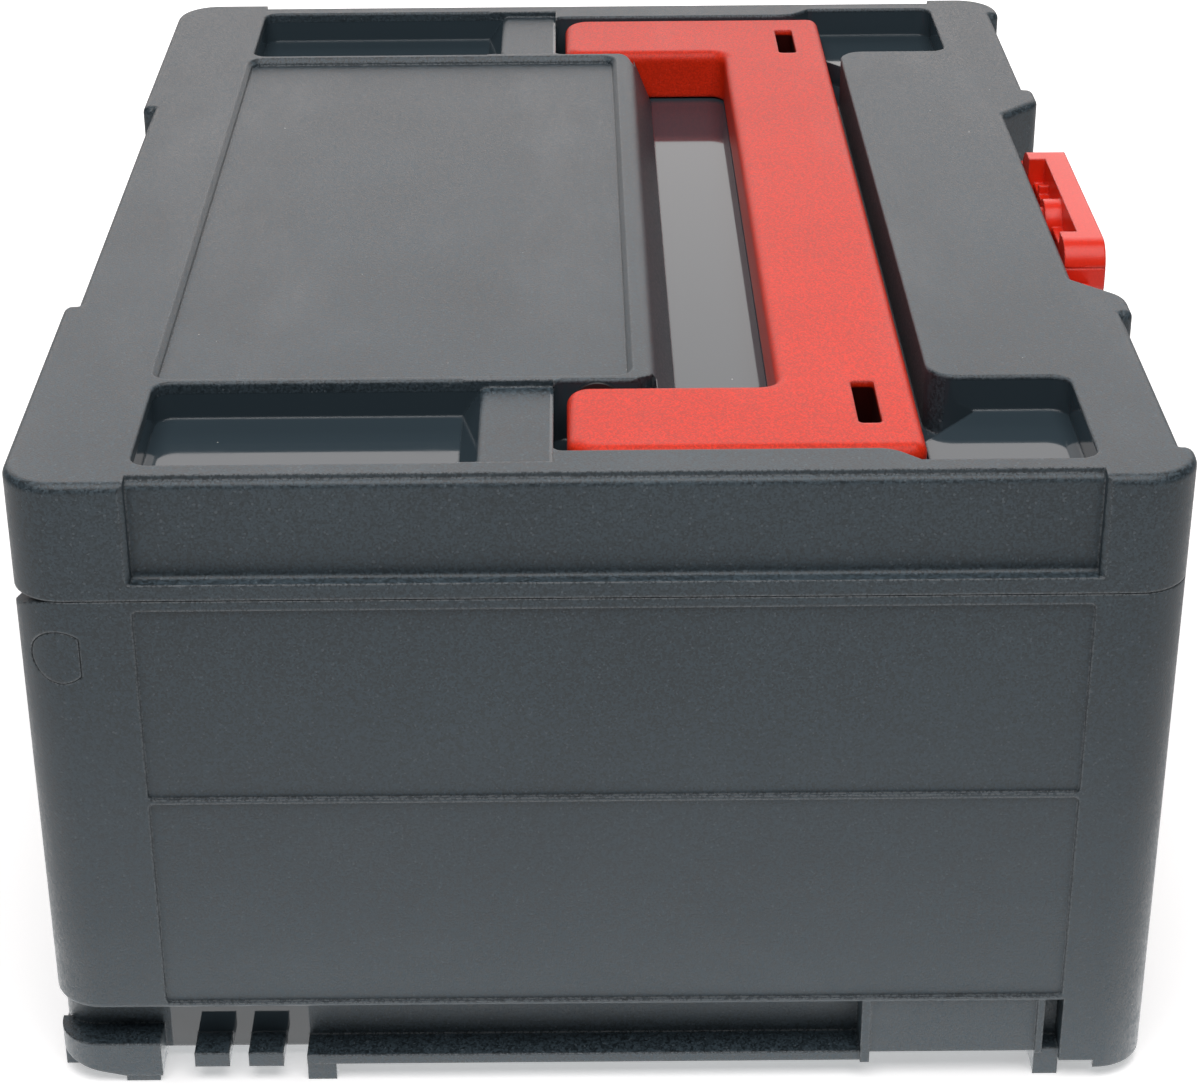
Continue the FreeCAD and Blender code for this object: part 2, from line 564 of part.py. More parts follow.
def make_lid_hollows(lid):
    """Hollow of the lid from below, following the panel, well and pockets above it."""
    end = "%s - lid_rim" % HALF_X
    front = "-(%s) + lid_rim" % HALF_Y
    rear = "%s - lid_rim" % HALF_Y
    under_top = "case_height - top_plate"
    cut(lid, "hollow", "XY", LID_LOW, "well_floor - top_plate", case_plan("lid_rim"))
    cut(lid, "hollow_under_panel", "XY", LID_LOW, "case_height - panel_deep - top_plate",
        box_corners("-(panel_half) + wall", "panel_half - wall", "-(panel_front)",
                    "panel_rear - wall"))
    cut(lid, "hollow_rear", "XY", LID_LOW, under_top,
        box_corners("-(%s)" % end, end, "rear_pocket_rear + wall", rear))
    cut(lid, "hollow_island", "XY", LID_LOW, under_top,
        box_corners("-(slot_inner) + wall", "slot_inner - wall",
                    "-(%s) + lid_rim" % FRONT_WALL, "-(well_front) - wall"))
    cut(lid, "hollow_rear_pockets", "XY", LID_LOW, "case_height - rear_pocket_deep - top_plate",
        *twins(box_corners("panel_half", end, "block_end - wall", "rear_pocket_rear + wall + 1")))
    cut(lid, "hollow_blocks", "XY", LID_LOW, "case_height - block_drop - top_plate",
        *twins(box_corners("slot_inner", end, "slot_end + wall", "block_end - wall")))
    cut(lid, "hollow_ends", "XY", LID_LOW, under_top,
        *twins(box_corners("slot_outer + wall", "%s - rim_step_in - wall" % HALF_X,
                           "-(slot_turn) + slot_turn_round", "slot_end - wall")))
    cut(lid, "hollow_fronts", "XY", LID_LOW, under_top,
        *twins(box_corners("latch_half + latch_inset + wall", "%s - corner_radius" % HALF_X, front,
                           "-(front_pocket_front) - wall")))
    cut(lid, "hollow_front_pockets", "XY", LID_LOW, "case_height - front_pocket_deep - top_plate",
        *twins(box_corners("deep_mid", "front_pocket_outer", "-(front_pocket_front)",
                           "-(deep_edge) - wall")))


def make_lid_hinge(lid):
    """Arms that reach down into the tub and turn on its pins."""
    radius = "hinge_arm_radius"
    arm = add(lid, "hinge_arm", "YZ", "hinge_arm_inner", "hinge_arm_outer", [
        ("%s - %s" % (HINGE_Y, radius), "%s - %s" % (HINGE_Z, radius), "%s - 0.01" % radius),
        ("%s + %s" % (HINGE_Y, radius), "%s - %s" % (HINGE_Z, radius), "%s - 0.01" % radius),
        ("%s + %s" % (HINGE_Y, radius), "case_height - top_plate / 2"),
        ("%s - %s" % (HINGE_Y, radius), "case_height - top_plate / 2")])
    mirror(lid, [arm], "far_hinge_arm")
    cut(lid, "arm_bores", "YZ", "-(hinge_arm_outer) - 1", "hinge_arm_outer + 1",
        (HINGE_Y, HINGE_Z, "hinge_pin_radius + fit"))


def bezel_screw_places(radius):
    """The bezel's four screws, two in each cheek."""
    across = "(latch_reach + bezel_half + latch_swing_gap) / 2"
    high = "bezel_top - bezel_screw_edge"
    low = "bezel_bottom + bezel_screw_edge"
    return [("%s(%s)" % (side, across), height, radius)
            for side in ("", "-") for height in (low, high)]


def catch_screw_places(radius):
    """The strike's two screws."""
    return [("%s(catch_half - 2 * screw_head)" % side, "catch_bottom + 2 * screw_head", radius)
            for side in ("", "-")]


def make_handle():
    """U-shaped handle, hollow from below, with a strap slot at each end of its bar."""
    handle = new_body("carry_handle")
    add(handle, "bow", "XY", "handle_bottom", "handle_top", both_sides([
        ("arm_inner", "-(bar_rear)", "handle_inside_round"),
        ("arm_inner", "arm_end", "arm_inner_round"),
        ("arm_outer", "arm_end", "arm_end_round"),
        ("arm_outer", "-(bar_front)", "handle_corner"),
    ]))
    round_edges(handle, "soft_edge", lambda box: at_height(box, "handle_top"), "handle_edge")
    turn = "pivot_height - handle_bottom"
    cut(handle, "arm_ends", "YZ", "-(arm_outer) - 1", "arm_outer + 1", [
        ("0", "handle_bottom"),
        ("arm_end", "handle_bottom", "%s - 0.9" % turn),
        ("arm_end", "handle_top - handle_edge - 1"),
        ("arm_end + 9", "handle_top - handle_edge - 1"),
        ("arm_end + 9", "handle_bottom - 5"),
        ("0", "handle_bottom - 5")])
    cell_roof = "handle_top - handle_skin"
    first = "-(cell_pitch * cell_count / 2) + cell_rib / 2"
    cell = cut(handle, "bar_cell", "XY", "handle_bottom - 1", cell_roof,
               box_corners(first, "%s + cell_pitch - cell_rib" % first,
                           "-(bar_front) + handle_skin", "-(bar_rear) - handle_skin", "cell_rib"))
    cells = handle.newObject("PartDesign::LinearPattern", "bar_cells")
    cells.Originals = [cell]
    cells.Direction = (origin_part(handle, "X_Axis"), [""])
    cells.setExpression("Length", bind("cell_pitch * (cell_count - 1)"))
    cells.setExpression("Occurrences", bind("cell_count"))
    cells.Refine = False
    handle.Tip = cells
    doc.recompute()
    cut(handle, "arm_cells", "XY", "handle_bottom - 1", cell_roof,
        *twins(box_corners("arm_inner + handle_skin", "arm_outer - handle_skin",
                           "-(bar_rear) - handle_skin", "-(handle_pin_radius) - handle_skin",
                           "cell_rib")))
    cut(handle, "strap_slots", "XY", "handle_bottom - 1", "handle_top + 1",
        *twins(box_corners("strap_inner", "strap_outer", "-(strap_front)", "-(strap_rear)",
                           "strap_round")))
    cut(handle, "pivot_bores", "YZ", "-(arm_outer) - 1", "arm_outer + 1",
        ("0", "pivot_height", "handle_pin_radius + fit"))
    return finish(handle)


def make_latch_bezel():
    """Fixed red plate behind the latch, with a cheek at each side of its swing."""
    bezel = new_body("latch_bezel")
    wall = FRONT_WALL
    add(bezel, "plate", "XZ", wall, "%s + cheek_deep" % wall,
        box_corners("-(bezel_half)", "bezel_half", "bezel_bottom", "bezel_top", "bezel_round"))

    def outer_edge(box):
        outside = max(box.XMax, -box.XMin) > value("bezel_half - bezel_round") - 0.1
        face = value("-(%s) - cheek_deep" % wall)
        return abs(box.YMin - face) < 1e-4 and abs(box.YMax - face) < 1e-4 and outside

    round_edges(bezel, "soft_edge", outer_edge, "bezel_round / 2")
    cut(bezel, "latch_swing", "XZ", "%s + bezel_back" % wall, "%s + cheek_deep + 1" % wall,
        ("0", "latch_height", "latch_reach + latch_swing_gap"))
    cut(bezel, "spigot_hole", "XZ", "%s - 1" % wall, "%s + bezel_back + 1" % wall,
        ("0", "latch_height", "spigot_radius + 2 * fit"))
    cut(bezel, "screw_holes", "XZ", "%s - 1" % wall, "%s + screw_deep + fit" % wall,
        *bezel_screw_places("screw_radius + fit"))
    return finish(bezel)


def make_latch_knob():
    """T-shaped latch: a bowed front on ribs, its hub and the spigot that it turns on."""
    knob = new_body("latch_knob")
    face_back = "%s + knob_back" % FRONT_WALL
    far = "%s + knob_apex + 1" % FRONT_WALL
    add(knob, "front", "XZ", face_back, far, both_sides([
        ("shoulder_half", "crown_top", "crown_round"),
        ("shoulder_half", "crown_bottom + knob_rib_back", "knob_rib * 2"),
        ("tongue_half + 12", "crown_bottom", "tongue_round"),
        ("tongue_half", "crown_bottom - 8", "tongue_round"),
        ("tongue_half", "tongue_bottom", "tongue_round"),
    ]))
    rim = "-(%s) - knob_end_deep" % FRONT_WALL
    cut(knob, "bow", "XY", "tongue_bottom - 1", "crown_top + 1", [
        ("-(shoulder_half)", rim), ("0", "-(%s) - knob_apex" % FRONT_WALL, "knob_bow"),
        ("shoulder_half", rim), ("shoulder_half + 2", rim),
        ("shoulder_half + 2", "-(%s) - 4" % far), ("-(shoulder_half) - 2", "-(%s) - 4" % far),
        ("-(shoulder_half) - 2", rim)])
    add(knob, "hub", "XZ", "%s + bezel_back + loose_fit" % FRONT_WALL, "%s + 1" % face_back,
        ("0", "latch_height", "hub_radius"))
    add(knob, "spigot", "XZ", "%s - spigot_end + lid_rim" % INSIDE_FRONT, "%s + 1" % face_back,
        ("0", "latch_height", "spigot_radius"))
    rib_back = "%s + knob_rib_back" % FRONT_WALL
    end_back = "%s + knob_end_back" % FRONT_WALL
    into = "%s + 1" % face_back
    add(knob, "cross_rib", "XZ", rib_back, into,
        box_corners("-(shoulder_half) + knob_rib / 2", "shoulder_half - knob_rib / 2",
                    "latch_height - knob_rib / 2", "latch_height + knob_rib / 2"))
    add(knob, "end_blocks", "XZ", end_back, into, *twins([
        ("knob_end_inner", "knob_end_low"), ("shoulder_half", "knob_end_low", "knob_rib * 2"),
        ("shoulder_half", "crown_top", "crown_round"), ("knob_end_inner", "crown_top")]))
    add(knob, "webs", "XZ", rib_back, into,
        *twins(box_corners("knob_web - knob_rib / 2", "knob_web + knob_rib / 2",
                           "knob_end_low", "parting_height + knob_rib")))
    add(knob, "bar_sill", "XZ", rib_back, into,
        box_corners("-(knob_end_inner) - 1", "knob_end_inner + 1",
                    "knob_end_low", "knob_end_low + knob_rib"))
    cut(knob, "parting_grooves", "XZ", "%s - 1" % end_back, far,
        *twins(box_corners("shoulder_half - parting_groove", "shoulder_half + 1",
                           "parting_height", "parting_height + 2 * parting_groove")))
    add(knob, "tongue_ribs", "XZ", rib_back, into,
        *twins(box_corners("tongue_half - knob_rib", "tongue_half",
                           "tongue_bottom + tongue_round", "crown_bottom")))
    add(knob, "hook", "XZ", rib_back, into,
        box_corners("-(tongue_half) + knob_rib / 2", "tongue_half - knob_rib / 2",
                    "catch_rib_bottom - 4", "catch_rib_bottom - 1.6"))
    cut(knob, "screw_bore", "XZ", "%s - spigot_end + lid_rim - 1" % INSIDE_FRONT,
        "%s + bezel_back" % FRONT_WALL, ("0", "latch_height", "screw_radius + fit"))
    return finish(knob)


def make_simple_pieces():
    """Pins, bushes, plugs, screws, washer, spring and strike."""
    for label, side in (("near", "-"), ("far", "")):
        make_hinge_pin("hinge_pin_" + label, side)
        make_hinge_plug("hinge_plug_" + label, side)
        make_handle_pin("handle_pin_" + label, side)
        make_handle_bush("handle_bush_" + label, side)
    make_screws("bezel_screws", INSIDE_FRONT, "%s + screw_deep" % FRONT_WALL,
                bezel_screw_places)
    make_screws("catch_screws", "%s - wall" % FRONT_WALL, "%s + catch_thick - 0.5" % FRONT_WALL,
                catch_screw_places)
    make_screws("latch_screw", "%s - spigot_end + lid_rim - latch_washer_thick" % INSIDE_FRONT,
                FRONT_WALL, lambda radius: [("0", "latch_height", radius)])

    washer = new_body("latch_washer")
    seat = "%s - spigot_end + lid_rim" % INSIDE_FRONT
    add(washer, "disc", "XZ", "%s - latch_washer_thick" % seat, seat,
        ("0", "latch_height", "latch_washer_radius"),
        ("0", "latch_height", "screw_radius + fit"))

    make_detent_spring()
    strike = new_body("catch_plate")
    add(strike, "plate", "XZ", FRONT_WALL, "%s + catch_thick" % FRONT_WALL,
        box_corners("-(catch_half)", "catch_half", "catch_bottom", "catch_top", "bezel_round"))
    add(strike, "rib", "XZ", "%s + catch_thick - 0.5" % FRONT_WALL,
        "%s + catch_thick + catch_rib_proud" % FRONT_WALL,
        box_corners("-(catch_half) / 2", "catch_half / 2", "catch_rib_bottom", "catch_rib_top"))
    cut(strike, "screw_holes", "XZ", "%s - 1" % FRONT_WALL, "%s + catch_thick - 0.4" % FRONT_WALL,
        *catch_screw_places("screw_radius + fit"))


def between(side, inner, outer):
    """Low and high places along X of something at one end of the case."""
    return (inner, outer) if side == "" else ("-(%s)" % outer, "-(%s)" % inner)


def make_hinge_pin(label, side):
    pin = new_body(label)
    low, high = between(side, "hinge_pin_start", "plug_seat")
    add(pin, "rod", "YZ", low, high, (HINGE_Y, HINGE_Z, "hinge_pin_radius"))


def make_hinge_plug(label, side):
    """D-shaped plug over the pin, flush with the rounded corner of the tub."""
    plug = new_body(label)
    low, high = between(side, "plug_seat", "%s + 1" % HALF_X)
    add(plug, "disc", "YZ", low, high, (HINGE_Y, HINGE_Z, "plug_radius"))
    cut(plug, "flat", "YZ", low, high,
        box_corners("%s - plug_radius - 1" % HINGE_Y, "%s - plug_flat" % HINGE_Y,
                    "%s - plug_radius - 1" % HINGE_Z, "%s + plug_radius + 1" % HINGE_Z))
    sign = side + "1"
    cut(plug, "outer_face", "XY", "%s - plug_radius - 1" % HINGE_Z, "%s + plug_radius + 1" % HINGE_Z, [
        ("%s * (%s)" % (sign, HALF_X), "%s - 20" % HALF_Y),
        ("%s * (%s)" % (sign, HALF_X), HALF_Y, "corner_radius"),
        ("%s * (%s - 20)" % (sign, HALF_X), HALF_Y),
        ("%s * (%s - 20)" % (sign, HALF_X), "%s + 9" % HALF_Y),
        ("%s * (%s + 9)" % (sign, HALF_X), "%s + 9" % HALF_Y),
        ("%s * (%s + 9)" % (sign, HALF_X), "%s - 20" % HALF_Y)])


def make_handle_pin(label, side):
    pin = new_body(label)
    low, high = between(side, "slot_inner - handle_pin_seat + fit",
                        "slot_outer + handle_pin_seat - fit")
    add(pin, "rod", "YZ", low, high, ("0", "pivot_height", "handle_pin_radius"))


def make_handle_bush(label, side):
    bush = new_body(label)
    low, high = between(side, "slot_inner", "slot_inner + bush_thick")
    add(bush, "ring", "YZ", low, high, ("0", "pivot_height", "bush_radius"),
        ("0", "pivot_height", "handle_pin_radius + fit"))


def make_screws(label, seat, tip, places):
    """Round-head screws along Y, heads towards the inside of the case."""
    screws = new_body(label)
    heads = add(screws, "heads", "XZ", "%s - screw_head_thick" % seat, seat,
                *places("screw_head"))
    heads.AllowMultiFace = True
    screws.AllowCompound = True
    add(screws, "shanks", "XZ", "%s - 0.5" % seat, tip, *places("screw_radius"))
    return screws


def make_detent_spring():
    """Bent leaf on the lid's front wall, its tip beside the latch washer."""
    spring = new_body("detent_spring")
    foot = "-(%s)" % INSIDE_FRONT
    add(spring, "leaf", "XY", "latch_height - latch_washer_radius / 2",
        "latch_height + latch_washer_radius / 2", [
            ("spring_end", foot), ("spring_end", "%s + spring_thick" % foot),
            ("spring_bend", "%s + spring_thick" % foot, "spring_thick * 2"),
            ("latch_washer_radius + 1.2", "%s + spring_rise" % foot),
            ("latch_washer_radius + 0.8", "%s + spring_rise - spring_thick" % foot),
            ("spring_bend - spring_thick / 2", foot, "spring_thick")])


def main():
    make_lower_body()
    make_lid_shell()
    make_handle()
    make_latch_bezel()
    make_latch_knob()
    make_simple_pieces()
    doc.recompute()
    for thing in doc.Objects:
        if "Invalid" in thing.State or "Error" in thing.State:
            raise RuntimeError("%s failed: %s" % (thing.Label, thing.State))
    os.makedirs("parts", exist_ok=True)
    for body in doc.Objects:
        if body.TypeId != "PartDesign::Body":
            continue
        shape = body.Shape
        if shape.isNull() or not shape.isValid():
            raise RuntimeError("%s has no valid shape" % body.Label)
        shape.exportStep("parts/%s.step" % body.Label)
        print("%-18s %2d solids %10.0f mm3" % (body.Label, len(shape.Solids), shape.Volume))


main()
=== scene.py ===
# %% [markdown]
# # A stackable tool case, dressed for the camera
# The case is a grey moulded tub with a hinged lid, a red handle that folds into a well in the
# lid, and a red latch on the front. Its solids arrive finished as a frame, in metres: +X runs
# along the case, +Y to the hinges and +Z up. This lesson adds what a solid can't carry, which
# is the grain, gloss and wear of each plastic, real screws, and a small photo studio.

import math

import bpy
from mathutils import Matrix, Vector


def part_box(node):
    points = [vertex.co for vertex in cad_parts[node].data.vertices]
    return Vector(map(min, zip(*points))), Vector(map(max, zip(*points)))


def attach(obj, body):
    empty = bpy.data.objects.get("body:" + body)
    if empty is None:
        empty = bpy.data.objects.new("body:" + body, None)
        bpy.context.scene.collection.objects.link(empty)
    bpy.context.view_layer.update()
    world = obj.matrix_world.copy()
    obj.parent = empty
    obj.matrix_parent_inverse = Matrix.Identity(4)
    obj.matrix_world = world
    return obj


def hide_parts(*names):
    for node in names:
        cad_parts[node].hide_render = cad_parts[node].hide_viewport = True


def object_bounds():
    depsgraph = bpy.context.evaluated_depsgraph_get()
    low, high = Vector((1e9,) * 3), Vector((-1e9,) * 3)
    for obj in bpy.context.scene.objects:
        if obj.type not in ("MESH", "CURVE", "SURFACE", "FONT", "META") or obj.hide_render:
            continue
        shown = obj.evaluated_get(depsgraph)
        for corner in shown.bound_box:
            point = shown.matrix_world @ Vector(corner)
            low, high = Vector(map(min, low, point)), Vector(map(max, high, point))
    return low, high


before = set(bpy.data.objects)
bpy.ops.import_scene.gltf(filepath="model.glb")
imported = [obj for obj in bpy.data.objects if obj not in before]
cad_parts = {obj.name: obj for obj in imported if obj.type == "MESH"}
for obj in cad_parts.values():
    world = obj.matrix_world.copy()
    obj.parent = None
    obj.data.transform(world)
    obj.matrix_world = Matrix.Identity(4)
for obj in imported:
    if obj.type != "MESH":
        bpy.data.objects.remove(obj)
CAD_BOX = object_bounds()
print("nodes:", ", ".join(sorted(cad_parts)))

# %% [markdown]
# ## The outsides of the case
# Every finish depends on where it is: the outside of the case is grained, while the floor of
# the handle's well and the pockets are as smooth as the steel they were moulded on. The frame
# gives the outsides of the two shells, and the places of the finishes are depths from them.

# %% Measure the two shells
MM = 0.001
lid_low, lid_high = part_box("lid_shell")
tub_low, tub_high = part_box("lower_body")
END, FRONT, REAR, TOP = lid_high.x, lid_low.y, lid_high.y, lid_high.z

print("case %.0f x %.0f x %.1f mm" % tuple((high - low) / MM for low, high in zip(*CAD_BOX)))

# %% [markdown]
# ## Small helpers for node trees
# A material is a graph of nodes. Writing `add(tree, kind, inputs, settings)` for each node
# keeps the graph readable: an input is either a plain value or the output socket of another
# node, and in the second case the helper draws the link. What several materials share goes
# into a node group, which is a small graph with named sockets of its own.

# %% Helpers that place and link nodes
def feed(tree, socket, given):
    """Give an input its value, or draw the link from another node's output."""
    if isinstance(given, bpy.types.NodeSocket):
        tree.links.new(given, socket)
    else:
        socket.default_value = given


def add(tree, kind, inputs=None, **settings):
    """One node of a tree: its inputs by name or number, its other settings by name."""
    node = tree.nodes.new(kind)
    for name, setting in settings.items():
        setattr(node, name, setting)
    for name, given in (inputs or {}).items():
        feed(tree, node.inputs[name], given)
    return node


def maths(tree, operation, *values, clamp=False):
    """The result of one Math node."""
    return add(tree, "ShaderNodeMath", dict(enumerate(values)), operation=operation,
               use_clamp=clamp).outputs[0]


def mix_colour(tree, factor, first, second):
    """A colour between two; 6, 7 and 2 are the Mix node's own numbers for colours."""
    return add(tree, "ShaderNodeMix", {0: factor, 6: first, 7: second}, data_type="RGBA").outputs[2]


# %% Helpers that make and use node groups
def new_group(name, inputs, outputs):
    """Shader node group with named sockets; an input is a vector where its default is one."""
    group = bpy.data.node_groups.new(name, "ShaderNodeTree")
    for label, default in inputs.items():
        kind = "NodeSocketFloat" if isinstance(default, (int, float)) else "NodeSocketVector"
        socket = group.interface.new_socket(name=label, in_out="INPUT", socket_type=kind)
        socket.default_value = default
    for label in outputs:
        group.interface.new_socket(name=label, in_out="OUTPUT", socket_type="NodeSocketFloat")
    source = group.nodes.new("NodeGroupInput")
    return group, source.outputs, group.nodes.new("NodeGroupOutput").inputs


def use(tree, group, inputs):
    """Put a group in a tree and return its outputs."""
    return add(tree, "ShaderNodeGroup", inputs, node_tree=group).outputs


# %% [markdown]
# ## The grain of spark-eroded steel
# The outside of the case is dull because its mould was etched by sparks into tiny craters.
# The plastic copies them as pebbles about half a millimetre wide. A picture of the grain
# would need unwrapping; noise in object space needs nothing and never shows a seam. Cells
# give the pebbles, a finer noise breaks up their tops, and a slow noise varies the tone.

# %% Group: spark grain
FINE_PER_PEBBLE = 1.7
CLOUDS_PER_METRE = 22.0
PEBBLE_RISE, FINE_RISE = 0.75, 0.5
PEBBLE_TONE, FINE_TONE, CLOUD_TONE = 0.45, 0.35, 0.2


def make_spark_grain():
    group, given, result = new_group(
        "spark_grain", {"Position": (0, 0, 0), "Pebbles per metre": 1500},
        ["Height", "Tone", "Pebble"])
    place = given["Position"]
    pebbles = given["Pebbles per metre"]
    domes = add(group, "ShaderNodeTexVoronoi", {"Vector": place, "Scale": pebbles,
                                                "Smoothness": 0.6}, feature="SMOOTH_F1")
    cells = add(group, "ShaderNodeTexVoronoi", {"Vector": place, "Scale": pebbles})
    each = add(group, "ShaderNodeSeparateColor", {0: cells.outputs["Color"]}).outputs[0]
    fine = add(group, "ShaderNodeTexNoise",
               {"Vector": place, "Scale": maths(group, "MULTIPLY", pebbles, FINE_PER_PEBBLE),
                "Detail": 2.0, "Roughness": 0.6}).outputs[0]
    cloud = add(group, "ShaderNodeTexNoise", {"Vector": place, "Scale": CLOUDS_PER_METRE,
                                              "Detail": 3.0}).outputs[0]
    raised = maths(group, "SUBTRACT", 1.0, domes.outputs["Distance"])
    height = maths(group, "ADD", maths(group, "MULTIPLY", raised, PEBBLE_RISE),
                   maths(group, "MULTIPLY", fine, FINE_RISE))
    speckle = maths(group, "MULTIPLY_ADD", each, PEBBLE_TONE,
                    maths(group, "MULTIPLY", fine, FINE_TONE))
    tone = maths(group, "MULTIPLY_ADD", cloud, CLOUD_TONE, speckle)
    group.links.new(height, result["Height"])
    group.links.new(tone, result["Tone"])
    group.links.new(each, result["Pebble"])
    return group


SPARK_GRAIN = make_spark_grain()
print("group:", SPARK_GRAIN.name)

# %% [markdown]
# ## Where the mould was polished
# The pockets, the floor of the well and the strip behind the coupling legs were left smooth.
# A mask that is one inside a box and fades to zero over its border tells a material which
# finish it is in. It needs only the distance to the nearest side, so one small group serves
# every place on the case, and the largest of several masks joins their boxes.

# %% Group: box mask
def make_box_mask():
    group, given, result = new_group(
        "box_mask", {"Position": (0, 0, 0), "Low": (0, 0, 0), "High": (1, 1, 1),
                     "Border": 0.001}, ["Mask"])
    above = add(group, "ShaderNodeVectorMath", {0: given["Position"], 1: given["Low"]},
                operation="SUBTRACT")
    below = add(group, "ShaderNodeVectorMath", {0: given["High"], 1: given["Position"]},
                operation="SUBTRACT")
    nearest = add(group, "ShaderNodeVectorMath", {0: above.outputs[0], 1: below.outputs[0]},
                  operation="MINIMUM")
    axes = add(group, "ShaderNodeSeparateXYZ", {0: nearest.outputs[0]}).outputs
    depth = maths(group, "MINIMUM", maths(group, "MINIMUM", axes[0], axes[1]), axes[2])
    group.links.new(maths(group, "DIVIDE", depth, given["Border"], clamp=True), result["Mask"])
    return group


BOX_MASK = make_box_mask()


def in_boxes(tree, place, boxes, border):
    """One mask for many boxes: one inside any of them, zero outside all."""
    inside = 0.0
    for low, high in boxes:
        mask = use(tree, BOX_MASK, {"Position": place, "Low": low, "High": high, "Border": border})
        inside = maths(tree, "MAXIMUM", inside, mask["Mask"])
    return inside


print("group:", BOX_MASK.name)

# %% [markdown]
# ## Dust and handling
# A used case carries a few pale specks of dust, and faint rubbed patches where hands and
# other cases slide over it. The specks are the centres of a few cells, picked by the random
# colour that every cell has. The rubbed patches are noise stretched along the case.

# %% Group: dust and rubbing
LARGEST_SPECK = 0.05
RUBS_PER_METRE = (9, 30, 60)
RUB_FROM, RUB_FULL = 0.5, 0.75


def make_handling():
    group, given, result = new_group(
        "handling", {"Position": (0, 0, 0), "Specks per metre": 190, "Share": 0.06},
        ["Dust", "Rub"])
    cells = add(group, "ShaderNodeTexVoronoi", {"Vector": given["Position"],
                                                "Scale": given["Specks per metre"]})
    lottery = add(group, "ShaderNodeSeparateColor", {0: cells.outputs["Color"]}).outputs
    drawn = maths(group, "LESS_THAN", lottery[0], given["Share"])
    size = maths(group, "MULTIPLY", lottery[1], LARGEST_SPECK)
    speck = maths(group, "LESS_THAN", cells.outputs["Distance"], size)
    group.links.new(maths(group, "MULTIPLY", drawn, speck), result["Dust"])
    stretched = add(group, "ShaderNodeMapping", {"Vector": given["Position"],
                                                 "Scale": RUBS_PER_METRE}).outputs[0]
    rub = add(group, "ShaderNodeTexNoise", {"Vector": stretched, "Scale": 1.0,
                                            "Detail": 5.0, "Roughness": 0.65}).outputs[0]
    ramp = add(group, "ShaderNodeMapRange", {"Value": rub, "From Min": RUB_FROM,
                                             "From Max": RUB_FULL}).outputs[0]
    group.links.new(ramp, result["Rub"])
    return group


HANDLING = make_handling()
print("group:", HANDLING.name)

# %% [markdown]
# ## Edges that catch light
# A moulded edge has a small radius, which the Bevel node gives to the shading alone. Where
# its normal leaves the face's own normal there is an edge, so the same node also tells where
# the edges are, and there single pebbles get a painted glint, a paler colour for highlights.

# %% Helper: rounded edges
EDGE_GAIN = 5.0


def rounded_edges(tree, radius):
    """The rounded normal, and how much a place belongs to an edge, from 0 to 1."""
    flat = add(tree, "ShaderNodeNewGeometry").outputs["Normal"]
    rounded = add(tree, "ShaderNodeBevel", {"Radius": radius}, samples=4).outputs[0]
    alike = add(tree, "ShaderNodeVectorMath", {0: rounded, 1: flat},
                operation="DOT_PRODUCT").outputs["Value"]
    on_edge = maths(tree, "MULTIPLY", maths(tree, "SUBTRACT", 1.0, alike), EDGE_GAIN, clamp=True)
    return rounded, on_edge


# %% [markdown]
# ## One recipe for every moulded plastic
# All the plastics here are the same thing with other numbers: a colour, a grain with its
# height, smooth places, dust and edges. The colour goes darker and paler from pebble to
# pebble, most on what faces up, as painted sheen: there the grain's slopes would catch the
# light from above. The inside of a hollow moulding looks nearly black, so such places get a
# box of their own, with painted shade in it.

# %% The colour of a moulded plastic
TONE_FROM, TONE_FULL = 0.3, 0.7
# Painted sheen: walls show this share of the grain's tone, what faces up shows all of it.
WALL_GRAIN = 0.65
# Painted glints: pebbles above these random numbers get a paler colour, on edges and, weaker,
# anywhere.
EDGE_PEBBLES, STRAY_PEBBLES = 0.45, 0.985
STRAY_PAINTED_GLINT, PAINTED_GLINT_LIFT = 0.3, 0.2
DUST_COLOUR = (0.55, 0.55, 0.52, 1.0)
# Painted shade: inside a hollow the colour keeps only this share.
PAINTED_SHADE_SHARE = 0.04


def plastic_colour(tree, colour, contrast, painted_glint, pebbled, matt, on_edge):
    """Base colour with darker and paler pebbles, most on what faces up (painted sheen), and painted
    glints on edges and a few elsewhere.
    """
    pale = (*[min(1.0, part * (1 + contrast)) for part in colour], 1.0)
    deep = (*[part * (1 - contrast) for part in colour], 1.0)
    painted_highlight = (*[min(1.0, part + PAINTED_GLINT_LIFT * painted_glint) for part in colour], 1.0)
    tone = add(tree, "ShaderNodeMapRange", {"Value": pebbled["Tone"], "From Min": TONE_FROM,
                                            "From Max": TONE_FULL}).outputs[0]
    normal = add(tree, "ShaderNodeNewGeometry").outputs["Normal"]
    upward = add(tree, "ShaderNodeSeparateXYZ", {0: normal}).outputs["Z"]
    painted_sheen_facing = maths(tree, "MULTIPLY_ADD", upward, 1 - WALL_GRAIN, WALL_GRAIN, clamp=True)
    tinted = mix_colour(tree, maths(tree, "MULTIPLY", matt, painted_sheen_facing), (*colour, 1.0),
                        mix_colour(tree, tone, deep, pale))
    # Painted highlights: a paler colour on edge pebbles and on a few stray pebbles anywhere.
    edge = maths(tree, "MULTIPLY", on_edge,
                 maths(tree, "GREATER_THAN", pebbled["Pebble"], EDGE_PEBBLES))
    stray = maths(tree, "MULTIPLY", STRAY_PAINTED_GLINT,
                  maths(tree, "GREATER_THAN", pebbled["Pebble"], STRAY_PEBBLES))
    painted_glints = maths(tree, "MULTIPLY", maths(tree, "MAXIMUM", edge, stray), matt)
    return mix_colour(tree, painted_glints, tinted, painted_highlight)


# %% Material: moulded plastic
PEBBLE_GLOSS, RUB_GLOSS, EDGE_GLOSS = 0.3, 0.05, 0.08
POLISHED = 0.05
MASK_BORDER, PAINTED_SHADE_BORDER = 0.4 * MM, 0.6 * MM


